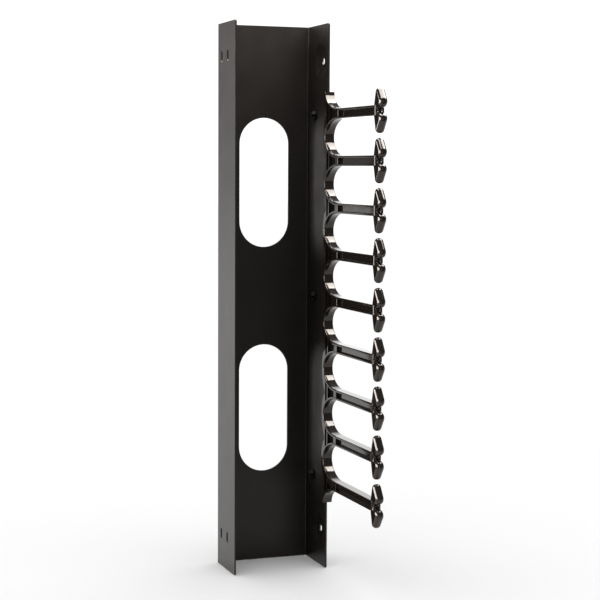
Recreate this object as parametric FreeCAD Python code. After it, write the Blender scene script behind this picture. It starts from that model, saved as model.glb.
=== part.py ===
import FreeCAD, Part
import math
import os

from FreeCAD import Vector

# Vertical cable manager for a network rack, all sizes in millimetres.
# X runs across the channel, Y runs into the wall and Z is up.
# The origin is the middle of the channel's wall face.

# Back channel: one folded steel sheet with two flanges that point forwards.
channel_height = 530.0
channel_width = 95.0
channel_depth = 57.0
sheet_thickness = 1.5
bend_inner_radius = 1.0
flange_corner_radius = 1.5

# Obround cable windows in the web.
window_width = 50.8
window_length = 127.0
window_centre_z = 112.0

# Cable-tie slots, in pairs at both ends of the left flange.
tie_slot_width = 4.8
tie_slot_length = 10.5
tie_slot_end_distance = 32.0
tie_slot_first_depth = 14.0
tie_slot_spacing = 19.2

# Dimpled screw holes at both ends of the right flange.
side_hole_diameter = 7.0
side_hole_depth = 35.5
side_hole_end_distance = 35.0
dimple_outer_radius = 16.5
dimple_floor_radius = 8.5
dimple_height = 3.0
dimple_round = 8.0

# Finger comb.
finger_count = 9
finger_pitch = 44.45
comb_end_trim = 0.7
comb_base_thickness = 9.8
scoop_bottom_gap = 2.5
scoop_depth = 30.0
seat_clearance = 0.1
inner_leg_lap = 2.5
inner_leg_scallop = 7.5
outer_leg_lap = 5.0
root_length = 10.5
comb_edge_radius = 0.8

# Fingers: I-section shafts with a two-lobed head.
finger_tip_thickness = 9.0
finger_web_thickness = 3.6
shaft_height = 9.65
finger_reach = 137.2
rim_width = 2.0
root_pocket_length = 22.5
shaft_head_lap = 6.2
pocket_edge_radius = 0.5

# Head, with distances measured back from its foremost point and up from the finger's axis.
head_thickness = 8.0
head_edge_radius = 3.6
head_length = 16.7
bulge_radius = 5.2
bulge_height = 7.6
tip_radius = 4.0
mouth_gap = 4.05
tip_setback = 10.0
notch_depth = 9.5
notch_radius = 1.2
heel_radius = 4.0
heel_setback = 2.0

# Push rivets that hold the comb's ears to the flange.
rivet_hole_diameter = 6.4
rivet_depth = 22.5
rivet_shank_clearance = 0.1
rivet_finger_step = 4
rivet_head_diameter = 14.0
rivet_head_height = 2.0
rivet_leg_length = 4.5
rivet_leg_spread = 1.8
rivet_leg_slot = 2.0
rivet_tip_taper = 2.0
rivet_pin_diameter = 3.0
rivet_pin_clearance = 0.05
rivet_pin_head_diameter = 7.0
rivet_pin_head_height = 1.2
ear_thickness = 2.5
ear_radius = 11.0

# Places worked out from the sizes above.
flange_outer_x = channel_width / 2
flange_inner_x = flange_outer_x - sheet_thickness
flange_front_y = -channel_depth
comb_x = flange_outer_x - sheet_thickness / 2
web_near_x = comb_x - finger_web_thickness / 2
web_far_x = comb_x + finger_web_thickness / 2
comb_half_height = finger_pitch * finger_count / 2 - comb_end_trim
tip_height = (finger_pitch - mouth_gap) / 2 - tip_radius
first_finger_z = finger_pitch * (finger_count - 1) / 2
scoop_bottom_y = flange_front_y - scoop_bottom_gap
scoop_centre_y = scoop_bottom_y - scoop_depth
scoop_half_height = (finger_pitch - shaft_height) / 2
root_front_y = scoop_bottom_y - root_length
head_front_y = flange_front_y - finger_reach
head_back_y = head_front_y + head_length
shaft_front_y = head_back_y - shaft_head_lap
rivet_y = -rivet_depth
ear_outer_x = flange_outer_x + seat_clearance + ear_thickness
finger_zs = [first_finger_z - finger_pitch * k for k in range(finger_count)]
gap_zs = [first_finger_z + finger_pitch / 2 - finger_pitch * k for k in range(finger_count + 1)]
rivet_zs = finger_zs[::rivet_finger_step]
rivet_names = ["top", "middle", "bottom"]

X_AXIS = Vector(1, 0, 0)
Y_AXIS = Vector(0, 1, 0)
Z_AXIS = Vector(0, 0, 1)


def box(x0, x1, y0, y1, z0, z1):
    """A block between two corners."""
    return Part.makeBox(x1 - x0, y1 - y0, z1 - z0, Vector(x0, y0, z0))


def rod(radius, x0, x1, y, z):
    """A round bar along X."""
    return Part.makeCylinder(radius, x1 - x0, Vector(x0, y, z), X_AXIS)


def solid_of(shape):
    """The single solid that a boolean left, with its split faces joined."""
    return shape.removeSplitter().Solids[0]


def channel_section():
    """The folded sheet's section in the XY plane, as a closed face."""
    outer_radius = bend_inner_radius + sheet_thickness
    side = channel_width / 2
    inner = side - sheet_thickness
    diagonal = math.sqrt(0.5)

    def bend(sign, radius, start, end):
        centre = Vector(sign * (side - outer_radius), -outer_radius, 0)
        middle = centre + Vector(sign * radius * diagonal, radius * diagonal, 0)
        return Part.Arc(start, middle, end).toShape()

    outer = [
        Vector(-side, flange_front_y, 0),
        Vector(-side, -outer_radius, 0),
        Vector(-side + outer_radius, 0, 0),
        Vector(side - outer_radius, 0, 0),
        Vector(side, -outer_radius, 0),
        Vector(side, flange_front_y, 0),
    ]
    inside = [
        Vector(inner, flange_front_y, 0),
        Vector(inner, -outer_radius, 0),
        Vector(side - outer_radius, -sheet_thickness, 0),
        Vector(-side + outer_radius, -sheet_thickness, 0),
        Vector(-inner, -outer_radius, 0),
        Vector(-inner, flange_front_y, 0),
    ]
    edges = [
        Part.makeLine(outer[0], outer[1]),
        bend(-1, outer_radius, outer[1], outer[2]),
        Part.makeLine(outer[2], outer[3]),
        bend(1, outer_radius, outer[3], outer[4]),
        Part.makeLine(outer[4], outer[5]),
        Part.makeLine(outer[5], inside[0]),
        Part.makeLine(inside[0], inside[1]),
        bend(1, bend_inner_radius, inside[1], inside[2]),
        Part.makeLine(inside[2], inside[3]),
        bend(-1, bend_inner_radius, inside[3], inside[4]),
        Part.makeLine(inside[4], inside[5]),
        Part.makeLine(inside[5], outer[0]),
    ]
    return Part.Face(Part.Wire(edges))


def obround_bar(width, length, depth):
    """A prism along X with round ends above and below, centred on the origin."""
    radius = width / 2
    straight = length / 2 - radius
    bar = box(-depth / 2, depth / 2, -radius, radius, -straight, straight)
    for end_z in (-straight, straight):
        bar = bar.fuse(rod(radius, -depth / 2, depth / 2, 0, end_z))
    return bar


def window_cutter(z):
    """A cutter for one cable window in the web."""
    cutter = obround_bar(window_width, window_length, 3 * sheet_thickness)
    cutter.rotate(Vector(0, 0, 0), Z_AXIS, 90)
    cutter.translate(Vector(0, -sheet_thickness / 2, z))
    return cutter


def tie_slot_cutter(y, z):
    """A cutter for one slot in the left flange."""
    cutter = obround_bar(tie_slot_width, tie_slot_length, 3 * sheet_thickness)
    cutter.translate(Vector(sheet_thickness / 2 - flange_outer_x, y, z))
    return cutter


def dimple_cone(base_x):
    """The cone frustum that a pressed dimple adds to one face of the sheet."""
    base = Vector(base_x, 0, 0)
    return Part.makeCone(dimple_outer_radius, dimple_floor_radius, dimple_height, base, X_AXIS)


def round_flange_corners(channel):
    """Rounds the four free corners of the flanges."""
    corners = []
    for edge in channel.Edges:
        centre = edge.CenterOfMass
        across = edge.Length < 1.1 * sheet_thickness and abs(edge.tangentAt(0).x) > 0.9
        at_front = abs(centre.y - flange_front_y) < 0.01
        at_end = abs(abs(centre.z) - channel_height / 2) < 0.01
        if across and at_front and at_end:
            corners.append(edge)
    return channel.makeFillet(flange_corner_radius, corners)


def round_dimples(channel):
    """Rounds both creases of each dimple, on both faces of the sheet."""
    creases = []
    for edge in channel.Edges:
        centre = edge.CenterOfMass
        far_side = centre.x > flange_inner_x - 0.01
        circle = edge.Closed and isinstance(edge.Curve, Part.Circle)
        if far_side and circle and edge.Curve.Radius > dimple_floor_radius - 0.01:
            creases.append(edge)
    return channel.makeFillet(dimple_round, creases)


def back_channel():
    channel = channel_section().extrude(Z_AXIS * channel_height)
    channel.translate(Z_AXIS * (-channel_height / 2))
    channel = round_flange_corners(channel)
    end_z = channel_height / 2
    drill_start = flange_inner_x - sheet_thickness
    drill_end = flange_outer_x + dimple_height + sheet_thickness
    for side in (-1, 1):
        channel = channel.cut(window_cutter(side * window_centre_z))
        for row in range(2):
            slot_y = -(tie_slot_first_depth + row * tie_slot_spacing)
            channel = channel.cut(tie_slot_cutter(slot_y, side * (end_z - tie_slot_end_distance)))
        hole_place = Vector(0, -side_hole_depth, side * (end_z - side_hole_end_distance))
        bulge = dimple_cone(flange_outer_x)
        bulge.translate(hole_place)
        recess = dimple_cone(flange_inner_x)
        recess.translate(hole_place)
        channel = channel.fuse(bulge).cut(recess)
    channel = round_dimples(solid_of(channel))
    for side in (-1, 1):
        hole_place = Vector(0, -side_hole_depth, side * (end_z - side_hole_end_distance))
        channel = channel.cut(rod(side_hole_diameter / 2, drill_start, drill_end, hole_place.y, hole_place.z))
    for z in rivet_zs:
        channel = channel.cut(rod(rivet_hole_diameter / 2, drill_start, drill_end, rivet_y, z))
    return solid_of(channel)


def scoop_cutter(centre_z, grow=0.0):
    """The space between two fingers: half an ellipse, then parallel sides. It can be grown by a rim."""
    x0 = comb_x - comb_base_thickness
    x1 = comb_x + comb_base_thickness
    centre = Vector(x0, scoop_centre_y, centre_z)
    along = centre + Y_AXIS * (scoop_depth + grow)
    up = centre + Z_AXIS * (scoop_half_height + grow)
    ellipse = Part.Ellipse(along, up, centre)
    disc = Part.Face(Part.Wire([ellipse.toShape()]))
    round_end = disc.extrude(X_AXIS * (x1 - x0))
    half = scoop_half_height + grow
    straight = box(x0, x1, head_front_y - head_length, scoop_centre_y, centre_z - half, centre_z + half)
    return round_end.fuse(straight)


def inner_leg(x0, x1):
    """The comb's visible leg, whose back edge swells towards the flange in each gap between fingers."""
    back_y = flange_front_y + inner_leg_lap
    radius = ((finger_pitch / 2) ** 2 + inner_leg_scallop ** 2) / (2 * inner_leg_scallop)
    leg = None
    for centre_z in gap_zs:
        top = min(centre_z + finger_pitch / 2, comb_half_height)
        bottom = max(centre_z - finger_pitch / 2, -comb_half_height)
        slab = box(x0, x1, root_front_y, back_y, bottom, top)
        piece = slab.common(rod(radius, x0, x1, back_y - radius, centre_z))
        leg = piece if leg is None else leg.fuse(piece)
    return leg


def root_pocket(z, y_front, y_back, x0, x1):
    """A recess beside a finger's root that keeps a rim of even width along the scoops."""
    pocket = box(x0, x1, y_front, y_back, z - finger_pitch / 2, z + finger_pitch / 2)
    for side in (-1, 1):
        pocket = pocket.cut(scoop_cutter(z + side * finger_pitch / 2, rim_width))
    return pocket


def comb_ear(z):
    """A lug on the flange's outer face, with a rivet hole."""
    x0 = flange_outer_x + seat_clearance
    lug = box(x0, ear_outer_x, flange_front_y + outer_leg_lap / 2, rivet_y, z - ear_radius, z + ear_radius)
    lug = lug.fuse(rod(ear_radius, x0, ear_outer_x, rivet_y, z))
    return lug.cut(rod(rivet_hole_diameter / 2, x0 - ear_thickness, ear_outer_x + ear_thickness, rivet_y, z))


def comb_spine():
    """The comb's base, which straddles the right flange's front edge."""
    x_near = comb_x - comb_base_thickness / 2
    x_far = comb_x + comb_base_thickness / 2
    slot_near = flange_inner_x - seat_clearance
    slot_far = flange_outer_x + seat_clearance
    half = comb_half_height
    spine = box(slot_near, slot_far, root_front_y, flange_front_y, -half, half)
    spine = spine.fuse(inner_leg(x_near, slot_near))
    spine = spine.fuse(box(slot_far, x_far, root_front_y, flange_front_y + outer_leg_lap, -half, half))
    for z in gap_zs:
        spine = spine.cut(scoop_cutter(z))
    scoop_edges = []
    for edge in spine.Edges:
        on_side = abs(abs(edge.CenterOfMass.x - comb_x) - comb_base_thickness / 2) < 0.01
        curved = not isinstance(edge.Curve, (Part.Line, Part.LineSegment))
        if on_side and curved:
            scoop_edges.append(edge)
    spine = spine.makeFillet(comb_edge_radius, scoop_edges)
    pocket_back_y = scoop_bottom_y - inner_leg_scallop / 2 - rim_width / 2
    for z in finger_zs:
        pocket = root_pocket(z, root_front_y + rim_width / 2, pocket_back_y, x_near, web_near_x)
        spine = spine.cut(pocket)
    for z in rivet_zs:
        spine = spine.fuse(comb_ear(z))
    return solid_of(spine)


def tangent_between(centre_a, radius_a, centre_b, radius_b, side):
    """The points where an outside tangent touches two circles in the YZ plane."""
    span = centre_b - centre_a
    angle = math.atan2(span.z, span.y) + side * math.acos((radius_a - radius_b) / span.Length)
    normal = Vector(0, math.cos(angle), math.sin(angle))
    return centre_a + normal * radius_a, centre_b + normal * radius_b


def arc_towards(start, end, centre, radius, through):
    """An arc from start to end about a centre, by way of the side that a direction points to."""
    middle = centre + through.normalize() * radius
    return Part.Arc(start, middle, end).toShape()


def head_profile():
    """The head's outline in the YZ plane: two lobes with a V-shaped notch between them."""
    bulge = Vector(0, head_front_y + bulge_radius, bulge_height)
    tip = Vector(0, head_front_y + tip_setback, tip_height)
    notch = Vector(0, head_front_y + notch_depth - notch_radius, 0)
    heel = Vector(0, head_back_y - heel_setback, 0)
    heel_end, tip_back = tangent_between(heel, heel_radius, tip, tip_radius, -1)
    tip_front, bulge_top = tangent_between(tip, tip_radius, bulge, bulge_radius, -1)
    # The notch's round is tangent to both flanks, so its touching point comes from the crossed tangent.
    span = bulge - notch
    angle = math.atan2(span.z, span.y) - math.acos((notch_radius + bulge_radius) / span.Length)
    away = Vector(0, math.cos(angle), math.sin(angle))
    flank_inner = notch + away * notch_radius
    flank_outer = bulge - away * bulge_radius
    upper = [
        Part.makeLine(heel_end, tip_back),
        arc_towards(tip_back, tip_front, tip, tip_radius, Vector(0, -0.1, 1)),
        Part.makeLine(tip_front, bulge_top),
        arc_towards(bulge_top, flank_outer, bulge, bulge_radius, Vector(0, -1, 0)),
        Part.makeLine(flank_outer, flank_inner),
    ]
    lower = [edge.mirror(Vector(0, 0, 0), Z_AXIS) for edge in upper]
    flank_mirror = Vector(0, flank_inner.y, -flank_inner.z)
    notch_round = arc_towards(flank_inner, flank_mirror, notch, notch_radius, Vector(0, 1, 0))
    heel_mirror = Vector(0, heel_end.y, -heel_end.z)
    heel_round = arc_towards(heel_end, heel_mirror, heel, heel_radius, Vector(0, 1, 0))
    edges = Part.sortEdges(upper + [notch_round, heel_round] + lower)[0]
    return Part.Face(Part.Wire(edges))


def finger_head():
    head = head_profile().extrude(X_AXIS * head_thickness)
    head.translate(X_AXIS * (comb_x - head_thickness / 2))
    rim = [edge for edge in head.Edges if abs(edge.CenterOfMass.x - comb_x) > head_thickness / 2 - 0.01]
    return head.makeFillet(head_edge_radius, rim)


def finger_blank():
    """A shaft's blank, a little thinner at its head end."""
    root_half = comb_base_thickness / 2
    tip_half = finger_tip_thickness / 2
    outline = [
        Vector(comb_x - root_half, root_front_y, -finger_pitch / 2),
        Vector(comb_x + root_half, root_front_y, -finger_pitch / 2),
        Vector(comb_x + tip_half, shaft_front_y, -finger_pitch / 2),
        Vector(comb_x - tip_half, shaft_front_y, -finger_pitch / 2),
    ]
    face = Part.Face(Part.makePolygon(outline + outline[:1]))
    return face.extrude(Z_AXIS * finger_pitch)


def finger_shaft():
    """One finger's shaft at the height of the origin, with a flared root and recessed sides."""
    shaft = finger_blank()
    for side in (-1, 1):
        shaft = shaft.cut(scoop_cutter(side * finger_pitch / 2))
    outer_edges = []
    for edge in shaft.Edges:
        centre = edge.CenterOfMass
        on_side = abs(centre.x - comb_x) > finger_tip_thickness / 2 - 0.01
        at_front = centre.y < shaft_front_y + 0.01
        at_root = centre.y > root_front_y - 0.01
        if (on_side or at_front) and not at_root:
            outer_edges.append(edge)
    shaft = shaft.makeFillet(comb_edge_radius, outer_edges)
    root_pocket_front = root_front_y - root_pocket_length + rim_width / 2
    shaft_pocket_back = root_pocket_front - rim_width
    shaft_pocket_front = shaft_front_y + rim_width
    half = shaft_height / 2 - rim_width
    x_near = comb_x - comb_base_thickness / 2
    x_far = comb_x + comb_base_thickness / 2
    for x0, x1 in ((x_near, web_near_x), (web_far_x, x_far)):
        shaft = shaft.cut(root_pocket(0, root_pocket_front, root_front_y - rim_width / 2, x0, x1))
        shaft = shaft.cut(box(x0, x1, shaft_pocket_front, shaft_pocket_back, -half, half))
    pocket_edges = []
    for edge in shaft.Edges:
        centre = edge.CenterOfMass
        on_side = abs(centre.x - comb_x) > finger_tip_thickness / 2 - 0.01
        along_pocket = shaft_pocket_front - 0.01 < centre.y < shaft_pocket_back + 0.01
        if on_side and along_pocket and abs(centre.z) < half + 0.01:
            pocket_edges.append(edge)
    return shaft.makeFillet(pocket_edge_radius, pocket_edges)


def push_rivet_sleeve(z):
    """A plastic sleeve: round head outside, shank through ear and flange, split legs inside."""
    head_x = ear_outer_x
    shank = rivet_hole_diameter / 2 - rivet_shank_clearance
    leg_x = flange_inner_x
    tip_x = leg_x - rivet_leg_length
    head_end = head_x + rivet_head_height
    sleeve = rod(rivet_head_diameter / 2, head_x, head_end, rivet_y, z)
    rim = [edge for edge in sleeve.Edges if edge.Closed and edge.CenterOfMass.x > head_end - 0.01]
    sleeve = sleeve.makeFillet(rivet_head_height / 2, rim)
    sleeve = sleeve.fuse(rod(shank, leg_x, head_x, rivet_y, z))
    spread = shank + rivet_leg_spread
    swell_x = leg_x - (rivet_leg_length - rivet_tip_taper) / 2
    legs = Part.makeCone(spread, shank, leg_x - swell_x, Vector(swell_x, rivet_y, z), X_AXIS)
    legs = legs.fuse(rod(spread, tip_x + rivet_tip_taper, swell_x, rivet_y, z))
    tip = Part.makeCone(shank, spread, rivet_tip_taper, Vector(tip_x, rivet_y, z), X_AXIS)
    sleeve = sleeve.fuse(legs).fuse(tip)
    slot_half = rivet_leg_slot / 2
    sleeve = sleeve.cut(box(tip_x, leg_x, rivet_y - spread, rivet_y + spread, z - slot_half, z + slot_half))
    bore = rivet_pin_diameter / 2 + rivet_pin_clearance
    return solid_of(sleeve.cut(rod(bore, tip_x, head_end, rivet_y, z)))


def push_rivet_pin(z):
    """The pin that is pushed into a sleeve to spread its legs."""
    head_x = ear_outer_x + rivet_head_height
    tip_x = flange_inner_x - rivet_leg_length
    pin = rod(rivet_pin_diameter / 2, tip_x, head_x, rivet_y, z)
    cap_end = head_x + rivet_pin_head_height
    cap = rod(rivet_pin_head_diameter / 2, head_x, cap_end, rivet_y, z)
    rim = [edge for edge in cap.Edges if edge.Closed and edge.CenterOfMass.x > cap_end - 0.01]
    return solid_of(pin.fuse(cap.makeFillet(rivet_pin_head_height / 2, rim)))


def export(name, shape):
    if not shape.isValid():
        raise ValueError("invalid solid: " + name)
    shape.exportStep("parts/" + name + ".step")


os.makedirs("parts", exist_ok=True)
export("back_channel", back_channel())
export("comb_spine", comb_spine())
finger = solid_of(finger_shaft().fuse(finger_head()))
for number, z in enumerate(finger_zs, start=1):
    placed = finger.copy()
    placed.translate(Z_AXIS * z)
    export("finger_%d" % number, placed)
for name, z in zip(rivet_names, rivet_zs):
    export("rivet_sleeve_" + name, push_rivet_sleeve(z))
    export("rivet_pin_" + name, push_rivet_pin(z))
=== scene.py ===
import math
from collections import namedtuple

import bpy
from mathutils import Matrix, Vector


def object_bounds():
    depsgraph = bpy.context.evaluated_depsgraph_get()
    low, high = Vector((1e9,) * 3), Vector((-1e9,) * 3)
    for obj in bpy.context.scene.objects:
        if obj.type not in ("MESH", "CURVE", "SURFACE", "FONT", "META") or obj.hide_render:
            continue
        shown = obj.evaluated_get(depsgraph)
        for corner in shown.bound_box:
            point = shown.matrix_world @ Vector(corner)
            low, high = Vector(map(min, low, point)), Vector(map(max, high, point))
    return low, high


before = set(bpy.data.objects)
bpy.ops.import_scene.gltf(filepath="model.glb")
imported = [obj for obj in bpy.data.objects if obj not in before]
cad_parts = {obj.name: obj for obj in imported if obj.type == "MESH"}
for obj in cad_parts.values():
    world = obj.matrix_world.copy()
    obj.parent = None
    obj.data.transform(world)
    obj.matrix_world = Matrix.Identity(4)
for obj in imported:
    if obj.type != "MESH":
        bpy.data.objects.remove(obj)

cad_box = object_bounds()

WHITE = (1, 1, 1, 1)

# Camera, in metres, degrees and millimetres of lens.
CAMERA_PLACE = Vector((-0.50246, -1.49674, 0.12616))
CAMERA_YAW = 19.883
CAMERA_PITCH = -4.7192
CAMERA_ROLL = 0.290
CAMERA_LENS = 95.64
SENSOR_WIDTH = 36.0

# The room's brightness to the camera and as soft light, and its brightness in reflections.
ROOM_LIGHT = 1.14
REFLECTED_LIGHT = 0.22

# The floor ends a little in front of the part. A longer one shows too brightly in the black surfaces.
FLOOR_GAP = 0.0004
FLOOR_FRONT = -0.60
FLOOR_REACH = 15.0
FLOOR_COLOUR = (0.9, 0.9, 0.9, 1)
FLOOR_ROUGHNESS = 0.9

# Roughness that varies in soft clouds, and ripples in the surface, with the depth in metres.
Clouds = namedtuple("Clouds", "scale detail low high")
Ripple = namedtuple("Ripple", "scale detail depth strength")

COAT_COLOUR = (0.0042, 0.0034, 0.0029, 1)
COAT_IOR = 1.5
COAT_SPECULAR = 0.34
COAT_TINT = (1.0, 0.92, 0.86, 1)
COAT_ROUGHNESS = Clouds(scale=40.0, detail=3.0, low=0.33, high=0.39)
COAT_PEEL = Ripple(scale=900.0, detail=2.0, depth=0.00006, strength=0.5)
COAT_GRIT = Ripple(scale=3500.0, detail=1.0, depth=0.00001, strength=0.4)

PLASTIC_COLOUR = (0.0036, 0.0027, 0.0021, 1)
PLASTIC_IOR = 1.53
PLASTIC_TINT = (1.0, 0.90, 0.82, 1)
PLASTIC_ROUGHNESS = Clouds(scale=60.0, detail=3.0, low=0.07, high=0.11)
PLASTIC_FLOW = Ripple(scale=180.0, detail=2.0, depth=0.00005, strength=0.25)
PLASTIC_GRAIN = Ripple(scale=5000.0, detail=1.0, depth=0.000004, strength=0.3)

NYLON_COLOUR = (0.0020, 0.0017, 0.0015, 1)
NYLON_SPECULAR = 0.10
NYLON_ROUGHNESS = Clouds(scale=300.0, detail=2.0, low=0.50, high=0.62)
NYLON_GRAIN = Ripple(scale=4000.0, detail=1.0, depth=0.00001, strength=0.5)

# Nearly all of a noise texture's values lie between these.
NOISE_LOW = 0.3
NOISE_HIGH = 0.7
NOISE_ROUGHNESS = 0.5

FINGER_COUNT = 9
COMB_NODES = ["comb_spine"] + ["finger_%d" % (k + 1) for k in range(FINGER_COUNT)]
RIVET_PLACES = ["top", "middle", "bottom"]


def new_material(name, colour):
    """A material of one colour, and its Principled shader."""
    material = bpy.data.materials.new(name)
    material.use_nodes = True
    shader = material.node_tree.nodes["Principled BSDF"]
    shader.inputs["Base Color"].default_value = colour
    return material, shader


def add(tree, kind, sockets):
    """Adds a node and sets its input sockets."""
    node = tree.nodes.new(kind)
    for socket, value in sockets.items():
        node.inputs[socket].default_value = value
    return node


def noise(tree, pattern):
    """Noise with a pattern's scale and detail, fixed to the object."""
    place = tree.nodes.new("ShaderNodeTexCoord")
    node = add(tree, "ShaderNodeTexNoise", {
        "Scale": pattern.scale, "Detail": pattern.detail, "Roughness": NOISE_ROUGHNESS})
    tree.links.new(place.outputs["Object"], node.inputs["Vector"])
    return node.outputs["Fac"]


def add_clouds(tree, shader, clouds):
    """Makes the roughness wander between the clouds' low and high values."""
    node = add(tree, "ShaderNodeMapRange", {
        "From Min": NOISE_LOW, "From Max": NOISE_HIGH,
        "To Min": clouds.low, "To Max": clouds.high})
    tree.links.new(noise(tree, clouds), node.inputs["Value"])
    tree.links.new(node.outputs["Result"], shader.inputs["Roughness"])


def add_ripples(tree, shader, ripples):
    """Lays ripples one over another."""
    below = None
    for ripple in ripples:
        node = add(tree, "ShaderNodeBump", {
            "Distance": ripple.depth, "Strength": ripple.strength})
        tree.links.new(noise(tree, ripple), node.inputs["Height"])
        if below:
            tree.links.new(below, node.inputs["Normal"])
        below = node.outputs["Normal"]
    tree.links.new(below, shader.inputs["Normal"])


def powder_coat():
    """Black satin powder coat on sheet steel: a fine orange peel and slightly uneven gloss."""
    material, shader = new_material("powder_coat_black", COAT_COLOUR)
    shader.inputs["IOR"].default_value = COAT_IOR
    shader.inputs["Specular Tint"].default_value = COAT_TINT
    shader.inputs["Specular IOR Level"].default_value = COAT_SPECULAR
    add_clouds(material.node_tree, shader, COAT_ROUGHNESS)
    add_ripples(material.node_tree, shader, [COAT_PEEL, COAT_GRIT])
    return material


def moulded_plastic():
    """Glossy black injection-moulded plastic, with faint flow waves."""
    material, shader = new_material("moulded_plastic_black", PLASTIC_COLOUR)
    shader.inputs["IOR"].default_value = PLASTIC_IOR
    shader.inputs["Specular Tint"].default_value = PLASTIC_TINT
    add_clouds(material.node_tree, shader, PLASTIC_ROUGHNESS)
    add_ripples(material.node_tree, shader, [PLASTIC_FLOW, PLASTIC_GRAIN])
    return material


def rivet_nylon():
    """Black nylon, duller than the comb."""
    material, shader = new_material("nylon_black", NYLON_COLOUR)
    shader.inputs["Specular IOR Level"].default_value = NYLON_SPECULAR
    add_clouds(material.node_tree, shader, NYLON_ROUGHNESS)
    add_ripples(material.node_tree, shader, [NYLON_GRAIN])
    return material


def dress(node_name, material):
    """Gives a CAD node its material."""
    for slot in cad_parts[node_name].material_slots:
        slot.material = material


def make_camera():
    """Stands where the photograph was taken from."""
    data = bpy.data.cameras.new("camera")
    data.lens = CAMERA_LENS
    data.sensor_width = SENSOR_WIDTH
    camera = bpy.data.objects.new("camera", data)
    bpy.context.scene.collection.objects.link(camera)
    turn = Matrix.Rotation(math.radians(-CAMERA_YAW), 4, "Z")
    tilt = Matrix.Rotation(math.radians(90 + CAMERA_PITCH), 4, "X")
    roll = Matrix.Rotation(math.radians(CAMERA_ROLL), 4, "Z")
    camera.matrix_world = Matrix.Translation(CAMERA_PLACE) @ turn @ tilt @ roll
    bpy.context.scene.camera = camera


def make_floor():
    """A pale floor just under the part."""
    low = cad_box[0].z - FLOOR_GAP
    mesh = bpy.data.meshes.new("floor")
    corners = [(-FLOOR_REACH, FLOOR_FRONT, low), (FLOOR_REACH, FLOOR_FRONT, low),
               (FLOOR_REACH, FLOOR_REACH, low), (-FLOOR_REACH, FLOOR_REACH, low)]
    mesh.from_pydata(corners, [], [(0, 1, 2, 3)])
    floor = bpy.data.objects.new("floor", mesh)
    bpy.context.scene.collection.objects.link(floor)
    material, shader = new_material("pale_floor", FLOOR_COLOUR)
    shader.inputs["Roughness"].default_value = FLOOR_ROUGHNESS
    shader.inputs["Specular IOR Level"].default_value = 0.0
    mesh.materials.append(material)


def make_world():
    """A white room for the camera and for soft light, and a dark one for reflections."""
    world = bpy.data.worlds.new("studio")
    bpy.context.scene.world = world
    world.use_nodes = True
    tree = world.node_tree
    room = tree.nodes["Background"]
    room.inputs["Color"].default_value = WHITE
    room.inputs["Strength"].default_value = ROOM_LIGHT
    reflected = add(tree, "ShaderNodeBackground", {
        "Color": WHITE, "Strength": REFLECTED_LIGHT})
    path = tree.nodes.new("ShaderNodeLightPath")
    mix = tree.nodes.new("ShaderNodeMixShader")
    tree.links.new(path.outputs["Is Glossy Ray"], mix.inputs[0])
    tree.links.new(room.outputs[0], mix.inputs[1])
    tree.links.new(reflected.outputs[0], mix.inputs[2])
    tree.links.new(mix.outputs[0], tree.nodes["World Output"].inputs["Surface"])


def part_only():
    """A collection of the part's pieces, for lights that leave the floor to the room's light."""
    group = bpy.data.collections.new("part_only")
    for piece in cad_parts.values():
        group.objects.link(piece)
    return group


def soft_box(name, place, target, size, brightness, receivers):
    """A rectangular light that the camera doesn't see. A white wall's brightness is 1."""
    width, height = size
    data = bpy.data.lights.new(name, "AREA")
    data.shape = "RECTANGLE"
    data.size = width
    data.size_y = height
    data.energy = brightness * math.pi * width * height
    light = bpy.data.objects.new(name, data)
    bpy.context.scene.collection.objects.link(light)
    light.location = place
    aim = Vector(target) - Vector(place)
    light.rotation_euler = aim.to_track_quat("-Z", "Y").to_euler()
    light.visible_camera = False
    light.light_linking.receiver_collection = receivers


def make_lights():
    """Soft boxes to the left, in front, above and behind, on the part alone."""
    receivers = part_only()
    soft_box("left_panel", place=(-1.6, 0.395, 0.24), target=(0, 0.395, 0.24),
             size=(2.4, 1.0), brightness=15.0, receivers=receivers)
    soft_box("front_panel", place=(-0.25, -1.8, 0.1), target=(0, -0.2, 0),
             size=(0.3, 0.4), brightness=3.5, receivers=receivers)
    soft_box("top_panel", place=(0.16, -0.12, 0.46), target=(0.16, -0.12, 0),
             size=(0.60, 0.35), brightness=16.0, receivers=receivers)
    soft_box("back_panel", place=(0.75, 2.2, 0.6), target=(0.75, 0, 0.6),
             size=(1.9, 1.7), brightness=1.4, receivers=receivers)


bpy.context.scene.view_settings.view_transform = "Standard"

coat = powder_coat()
plastic = moulded_plastic()
nylon = rivet_nylon()
dress("back_channel", coat)
for name in COMB_NODES:
    dress(name, plastic)
for place_name in RIVET_PLACES:
    dress("rivet_sleeve_" + place_name, nylon)
    dress("rivet_pin_" + place_name, nylon)

make_camera()
make_floor()
make_world()
make_lights()
